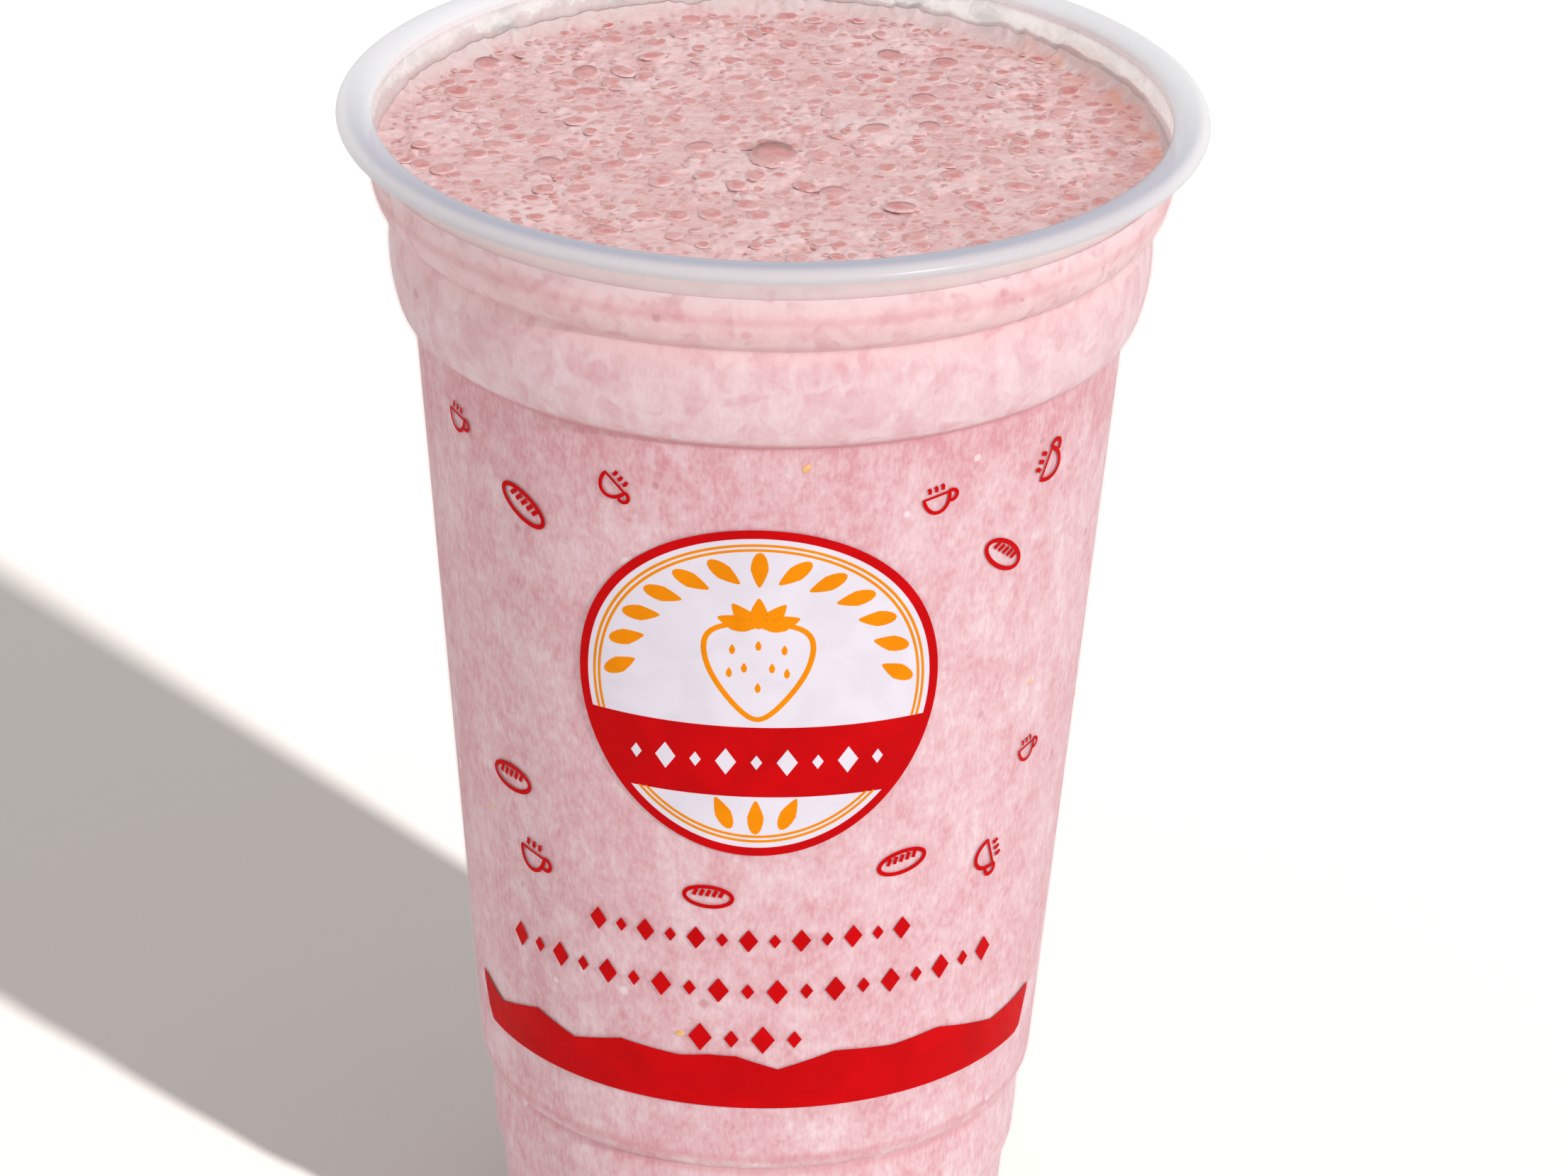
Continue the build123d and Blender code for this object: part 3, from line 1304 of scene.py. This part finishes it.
class SMOOTHIE_OT_bubbles(bpy.types.Operator):
    """Set the bubbles in the froth, and clear skins over the large ones"""

    bl_idname = "smoothie.bubbles"
    bl_label = "Bubbles"

    def execute(self, context):
        cup, drink = context.scene.cup_sizes, context.scene.drink_sizes
        colours = context.scene.finish_colours
        level, wall_radius, reach = froth_place(drink, cup)
        draw = random.Random(19)
        noise.seed_set(19)
        low_rings = (
            (1.22, -0.12, 0.0, 0.0),
            (1.06, 0.05, 0.0, 0.1),
            (0.94, 0.08, 0.45, 0.9),
            (0.8, 0.08, 0.9, 0.15),
            (0.4, 0.1, 1.0, 0.0),
        )
        small = dome_pattern("bubble_small", 10, low_rings[::2])
        large = dome_pattern("bubble_large", 16, low_rings)
        skin_rings = (
            (1.12, 0.0, 0.0, 0.2),
            (1.03, 0.18, 0.0, 1.0),
            (0.82, 0.34, 0.0, 0.1),
            (0.45, 0.46, 0.0, 0.0),
        )
        skin_dome = dome_pattern("bubble_skin", 18, skin_rings)
        thicken(skin_dome, 0.03)
        domes, skins = [], []
        for x, y, radius in bubble_spots(drink, wall_radius - 0.8 * MM):
            z = froth_height(x, y, level, reach, drink)
            oval, turn = draw.uniform(0.78, 1.2), draw.uniform(0, math.tau)
            place = (
                Matrix.Translation((x, y, z))
                @ Matrix.Rotation(turn, 4, "Z")
                @ Matrix.Diagonal((radius * oval, radius / oval, radius, 1))
            )
            big = radius > RINGED_RADIUS
            strength = draw.triangular(0.35, 1.0, 0.9) if big else draw.uniform(0.2, 0.9)
            dome = large if big else small
            domes.append(marked_copy(dome, low_rings, strength, turn, place))
            if radius > SKINNED_RADIUS:
                if radius == BIG_BUBBLE[2]:
                    place = place @ Matrix.Diagonal((1, 1, 1.5, 1))
                skins.append(marked_copy(skin_dome, skin_rings, 1.0, turn, place))
        discard(small, large, skin_dome)
        piece = joined("froth_bubbles", domes)
        for vertex in piece.data.vertices:
            push = noise.noise_vector(vertex.co / (1.1 * MM))
            vertex.co += 0.2 * MM * Vector((push.x, push.y, 0.2 * push.z))
        finished(piece, 60, bubble_finish(colours), "smoothie", DRINK_NODE)
        piece = joined("bubble_skins", skins)
        finished(piece, 60, film_finish(colours), "smoothie", DRINK_NODE)
        return {"FINISHED"}


class SMOOTHIE_OT_smear(bpy.types.Operator):
    """Spin the thin smear of drink on the wall above the froth"""

    bl_idname = "smoothie.smear"
    bl_label = "Wall smear"

    def execute(self, context):
        cup, drink = context.scene.cup_sizes, context.scene.drink_sizes
        level = froth_place(drink, cup)[0]
        inner = skin(cup, cup.wall)
        low, high = level - 0.3 * MM, rim_line(cup) - 0.2 * MM
        outline = []
        for i in range(9):
            z = low + (high - low) * i / 8
            outline.append((radius_at(inner, z) - 0.05 * MM, z))
        outline += [(r - 0.08 * MM, z) for r, z in reversed(outline)]
        outline.append(outline[0])
        piece = spun("wall_smear", outline, cup.sides)
        film = smear_finish(context.scene.finish_colours, level, rim_line(cup))
        finished(piece, 35, film, "smoothie", DRINK_NODE)
        return {"FINISHED"}


class SMOOTHIE_OT_fruit(bpy.types.Operator):
    """Set tiny bits of fruit in the drink's side"""

    bl_idname = "smoothie.fruit"
    bl_label = "Fruit bits"

    def execute(self, context):
        cup, drink = context.scene.cup_sizes, context.scene.drink_sizes
        outline = skin(cup, cup.wall - drink.reach)
        draw = random.Random(3)
        noise.seed_set(3)
        clear_selection()
        bpy.ops.mesh.primitive_ico_sphere_add(subdivisions=2, radius=1)
        pattern = named("fruit_bit")
        with editing():
            bpy.ops.transform.resize(value=(1.0, 0.3, 0.7))
        spots = [(6.3, 121.0, 0.62), (-14.8, 46.9, 0.58)]
        spots += [
            (draw.uniform(0, 360), draw.uniform(12, 130), draw.uniform(0.2, 0.4)) for _ in range(10)
        ]
        bits = []
        for turn, height, size in spots:
            z = height * MM
            angle = math.radians(turn)
            radius = radius_at(outline, z)
            place = (
                Matrix.Translation((radius * math.sin(angle), -radius * math.cos(angle), z))
                @ Matrix.Rotation(angle, 4, "Z")
                @ Matrix.Rotation(draw.uniform(0, math.pi), 4, "Y")
                @ Matrix.Scale(size * MM, 4)
            )
            bit = copied(pattern, place)
            for vertex in bit.data.vertices:
                vertex.co += 0.12 * size * MM * noise.noise_vector(vertex.co / (0.5 * MM))
            bits.append(bit)
        discard(pattern)
        piece = joined("fruit_bits", bits)
        finished(piece, 60, fruit_finish(), "smoothie")
        return {"FINISHED"}


class SMOOTHIE_OT_band(bpy.types.Operator):
    """Print the red band with its peaked upper edge"""

    bl_idname = "smoothie.band"
    bl_label = "Red band"

    def execute(self, context):
        cup, sizes = context.scene.cup_sizes, context.scene.print_sizes
        outline = skin(cup, 0.0)
        # The lower edge lifts by this many millimetres over this many degrees at each end.
        end_lift, end_turn = 4.6, 2.2
        # Turn round the cup and height above the lower edge of each peak and dip
        peaks = (
            (-69.9, 5.96), (-60.8, 4.2), (-48.0, 6.76), (-38.0, 5.2), (-27.0, 7.15),
            (-14.8, 6.5), (-9.2, 7.0), (-3.7, 7.0), (4.5, 5.3), (15.5, 7.4), (18.4, 7.3),
            (27.6, 6.85), (37.0, 7.4), (38.5, 7.4), (53.8, 4.95), (65.0, 5.5), (68.9, 5.75),
        )
        reference = radius_at(outline, sizes.band_height)
        columns, upper = [], []
        for (t0, h0), (t1, h1) in zip(peaks, peaks[1:]):
            steps = max(1, round((t1 - t0) / 1.6))
            for i in range(steps):
                columns.append(t0 + (t1 - t0) * i / steps)
                upper.append(h0 + (h1 - h0) * i / steps)
        columns.append(peaks[-1][0])
        upper.append(peaks[-1][1])
        first, last = columns[0], columns[-1]
        lower = [end_lift * max(0.0, 1 - min(c - first, last - c) / end_turn) for c in columns]
        piece = strip(
            "print_band",
            [math.radians(c) * reference for c in columns],
            [h * MM for h in lower],
            [h * MM for h in upper],
            3,
        )
        thicken(piece, sizes.ink)
        wrap(piece, 0.0, sizes.band_height, outline, sizes.ink * 0.3)
        inked(piece, "red")
        return {"FINISHED"}


class SMOOTHIE_OT_inks(bpy.types.Operator):
    """Mix the print's inks"""

    bl_idname = "smoothie.inks"
    bl_label = "Inks"

    def execute(self, context):
        colours = context.scene.finish_colours
        ink_finish("ink_red", tuple(colours.red), 0.5)
        ink_finish("ink_orange", tuple(colours.orange), 0.4)
        ink_finish("ink_white", tuple(colours.white), 0.25)
        return {"FINISHED"}


class SMOOTHIE_OT_badge(bpy.types.Operator):
    """Print the round badge: its field, rings, bar and strawberry"""

    bl_idname = "smoothie.badge"
    bl_label = "Badge"

    def execute(self, context):
        cup, sizes = context.scene.cup_sizes, context.scene.print_sizes
        outline = skin(cup, 0.0)
        turn, height = math.radians(-0.75), sizes.badge_height
        radius, ink = sizes.badge_radius, sizes.ink

        field = disc_shape("print_badge_field", radius - 0.3 * MM, 18)
        thicken(field, ink)
        wrap(field, turn, height, outline)
        inked(field, "white")

        ring = ring_shape("ring", radius, radius - sizes.ring_width)
        thicken(ring, ink)
        bar = self.bar(radius - 0.4 * MM)
        thicken(bar, ink)
        piece = joined("print_badge_red", [ring, bar])
        wrap(piece, turn, height, outline, ink * 0.8)
        inked(piece, "red")

        piece = joined("print_badge_orange", self.orange_shapes(sizes))
        wrap(piece, turn, height, outline, ink * 0.6)
        inked(piece, "orange", 50)

        pattern = lozenge_shape("lozenge", 2.4 * MM, 3.4 * MM, ink)
        marks = [
            copied(pattern, flat_place(3.5 * step * MM, -8.7 * MM, 0.0, 1.0 if step % 2 else 0.55))
            for step in range(-4, 5)
        ]
        discard(pattern)
        piece = joined("print_badge_marks", marks)
        wrap(piece, turn, height, outline, ink * 1.4)
        inked(piece, "white")
        return {"FINISHED"}

    def bar(self, radius):
        """A plain bar across the lower part of the badge, ended by its circle."""
        top, bottom, count = -4.2 * MM, -13.2 * MM, 40
        columns, lower, upper = [], [], []
        reach = math.sqrt(radius**2 - top**2)
        for i in range(count + 1):
            x = reach * math.sin(math.pi / 2 * (2 * i / count - 1))
            drop = math.sqrt(max(radius**2 - x**2, 0))
            columns.append(x)
            upper.append(top)
            lower.append(max(bottom, min(-drop, top - 0.01 * MM)))
        return strip("bar", columns, lower, upper, 6)

    def orange_shapes(self, sizes):
        """Rings, a wreath of leaves and a strawberry, all flat."""
        ink, line = sizes.ink, sizes.line_width
        radius = sizes.badge_radius
        shapes = []
        for part in (1.9, 2.5):
            reach = radius - part * MM
            top, bottom = (math.degrees(math.asin(edge * MM / reach)) for edge in (-4.3, -13.1))
            for start, end in ((top, 180 - top), (180 - bottom, 360 + bottom)):
                shapes.append(stroke("line", arc_points(reach, reach, start, end, 90), line, ink))
        leaf, count, out = drop_shape("leaf", 1.9 * MM, 4.4 * MM, ink), 26, 15.9 * MM
        for i in range(count):
            angle = math.pi / 2 + math.tau * i / count
            x, y = out * math.cos(angle), out * math.sin(angle)
            if -15.2 * MM < y < -1.5 * MM:
                continue
            lean = 0.0
            if i % (count // 2):
                lean = math.radians(38 if i < count / 2 else -38)
            shapes.append(copied(leaf, flat_place(x, y, angle + math.pi / 2 + lean)))
        discard(leaf)
        shapes += self.strawberry(sizes)
        return shapes

    def strawberry(self, sizes):
        """A plain strawberry in outline, with its leaves and a few seeds."""
        ink, width = sizes.ink, 0.62 * MM
        middle, grow = 4.0 * MM, 1.1
        points = []
        for i in range(48):
            turn = math.tau * i / 48
            x = 5.4 * math.sin(turn) * (1 + 0.16 * math.cos(turn))
            y = 5.6 * math.cos(turn) - 0.9 * math.cos(2 * turn)
            if y < 0:
                x *= 1 - 0.26 * (y / 6.5) ** 2
            points.append((grow * x * MM, grow * y * MM + middle))
        shapes = [stroke("berry", points, width, ink, closed=True)]
        leaf = drop_shape("leaf", 2.1 * MM, 4.2 * MM, ink)
        for degrees in (-72, -38, 0, 38, 72):
            turn = math.radians(degrees)
            x, y = -math.sin(turn) * 2.5 * MM, (4.2 + 1.6 * math.cos(turn)) * MM
            shapes.append(copied(leaf, flat_place(grow * x, grow * y + middle, turn, 0.85 * grow)))
        discard(leaf)
        seed = drop_shape("seed", 0.62 * MM, 1.15 * MM, ink, 8)
        for x, y in (
            (-2.6, 1.6), (0, 2.1), (2.6, 1.6), (-1.4, -0.5),
            (1.4, -0.5), (-2.9, -1.1), (2.9, -1.1), (0, -2.8),
        ):
            place = flat_place(grow * x * MM, grow * y * MM + middle, 0.0, grow)
            shapes.append(copied(seed, place))
        discard(seed)
        return shapes


class SMOOTHIE_OT_pictures(bpy.types.Operator):
    """Print the small cups and loaves, and the rows of lozenges"""

    bl_idname = "smoothie.pictures"
    bl_label = "Small pictures"

    def execute(self, context):
        cup, sizes = context.scene.cup_sizes, context.scene.print_sizes
        outline = skin(cup, 0.0)
        little_cup, loaf = self.little_cup(sizes), self.loaf(sizes)
        copies = []
        # Turn round the cup, drop below the rim, tilt and size of each
        for pattern, turn, down, tilt, size in (
            (little_cup, -59.6, 29.3, -8, 0.9),
            (little_cup, -24.9, 29.9, -44, 0.9),
            (little_cup, 28.2, 31.5, 11, 0.92),
            (little_cup, 52.0, 31.7, 66, 1.1),
            (little_cup, 55.2, 68.8, 10, 0.8),
            (little_cup, -46.3, 81.8, -10, 1.05),
            (little_cup, 46.7, 80.6, -70, 1.05),
            (loaf, -43.0, 36.0, -28, 1.2),
            (loaf, 42.7, 40.9, -36, 1.12),
            (loaf, -50.9, 72.7, 0, 1.15),
            (loaf, -9.1, 81.1, -2, 1.0),
            (loaf, 26.7, 77.8, 10, 1.05),
        ):
            twin = copied(pattern, flat_place(0, 0, math.radians(tilt), size))
            wrap(twin, math.radians(turn), rim_line(cup) - down * MM, outline, sizes.ink * 0.3)
            copies.append(twin)
        discard(little_cup, loaf)
        inked(joined("print_pictures", copies), "red", 50)

        lozenge = lozenge_shape("lozenge", 2.2 * MM, 3.0 * MM, sizes.ink)
        rows = []
        # Number, spacing, height and size of the lozenges in each row
        for count, gap, height, size in (
            (13, 3.0, 60.2, 1.0),
            (19, 3.35, 53.4, 1.1),
            (4, 3.6, 46.9, 1.25),
        ):
            for i in range(count):
                along = (i - (count - 1) / 2) * gap * MM
                small = 0.62 if i % 2 else 1.0
                twin = copied(lozenge, flat_place(along, 0, 0, size * small))
                wrap(twin, math.radians(-1.6), height * MM, outline, sizes.ink * 0.3)
                rows.append(twin)
        discard(lozenge)
        inked(joined("print_rows", rows), "red")
        return {"FINISHED"}

    def little_cup(self, sizes):
        """A small cup in outline: bowl, handle and three short strokes above."""
        ink, width = sizes.ink, sizes.stroke
        bowl = arc_points(1.75 * MM, 2.3 * MM, 180, 360, 20, (0, 0.5 * MM))
        handle = arc_points(0.75 * MM, 0.7 * MM, 110, -110, 12, (2.0 * MM, -0.1 * MM))
        shapes = [
            stroke("bowl", bowl, width, ink, closed=True),
            stroke("handle", handle, width, ink),
        ]
        for x in (-0.9, 0.0, 0.9):
            points = [(x * MM, 1.1 * MM), ((x + 0.12) * MM, 1.5 * MM), (x * MM, 1.9 * MM)]
            shapes.append(stroke("steam", points, width, ink))
        return joined("little_cup", shapes)

    def loaf(self, sizes):
        """A small loaf in outline, with short slashes."""
        ink, width = sizes.ink, sizes.stroke
        crust = arc_points(2.75 * MM, 1.3 * MM, 0, 360, 32)[:-1]
        shapes = [stroke("crust", crust, width, ink, closed=True)]
        for x in (-1.5, -0.75, 0.0, 0.75, 1.5):
            points = [((x - 0.18) * MM, 0.05 * MM), ((x + 0.2) * MM, 0.9 * MM)]
            shapes.append(stroke("slash", points, width * 0.9, ink))
        return joined("loaf", shapes)


class SMOOTHIE_PT_panel(bpy.types.Panel):
    """Lists the pieces, sizes and colours in the sidebar"""

    bl_label = "Strawberry smoothie"
    bl_idname = "SMOOTHIE_PT_panel"
    bl_space_type = "VIEW_3D"
    bl_region_type = "UI"
    bl_category = "Smoothie"

    def draw(self, context):
        layout = self.layout
        for operator in OPERATORS:
            layout.operator(operator.bl_idname)
        for name in SETTINGS:
            box = layout.box()
            group = getattr(context.scene, name)
            for key in group.bl_rna.properties.keys():
                if key not in ("rna_type", "name"):
                    box.prop(group, key)


OPERATORS = (
    SMOOTHIE_OT_stage,
    SMOOTHIE_OT_groups,
    SMOOTHIE_OT_inks,
    SMOOTHIE_OT_cup,
    SMOOTHIE_OT_drink,
    SMOOTHIE_OT_froth,
    SMOOTHIE_OT_bubbles,
    SMOOTHIE_OT_smear,
    SMOOTHIE_OT_fruit,
    SMOOTHIE_OT_band,
    SMOOTHIE_OT_badge,
    SMOOTHIE_OT_pictures,
)
SETTINGS = {
    "cup_sizes": CupSizes,
    "drink_sizes": DrinkSizes,
    "print_sizes": PrintSizes,
    "finish_colours": Colours,
}


def register():
    for group in SETTINGS.values():
        bpy.utils.register_class(group)
    for name, group in SETTINGS.items():
        setattr(bpy.types.Scene, name, PointerProperty(type=group))
    for operator in OPERATORS:
        bpy.utils.register_class(operator)
    bpy.utils.register_class(SMOOTHIE_PT_panel)


def unregister():
    bpy.utils.unregister_class(SMOOTHIE_PT_panel)
    for operator in reversed(OPERATORS):
        bpy.utils.unregister_class(operator)
    for name in SETTINGS:
        delattr(bpy.types.Scene, name)
    for group in reversed(list(SETTINGS.values())):
        bpy.utils.unregister_class(group)


def main():
    register()
    bpy.ops.smoothie.stage()
    bpy.ops.smoothie.groups()
    bpy.ops.smoothie.inks()
    bpy.ops.smoothie.cup()
    bpy.ops.smoothie.drink()
    bpy.ops.smoothie.froth()
    bpy.ops.smoothie.bubbles()
    bpy.ops.smoothie.smear()
    bpy.ops.smoothie.fruit()
    bpy.ops.smoothie.band()
    bpy.ops.smoothie.badge()
    bpy.ops.smoothie.pictures()


if __name__ == "__main__":
    main()
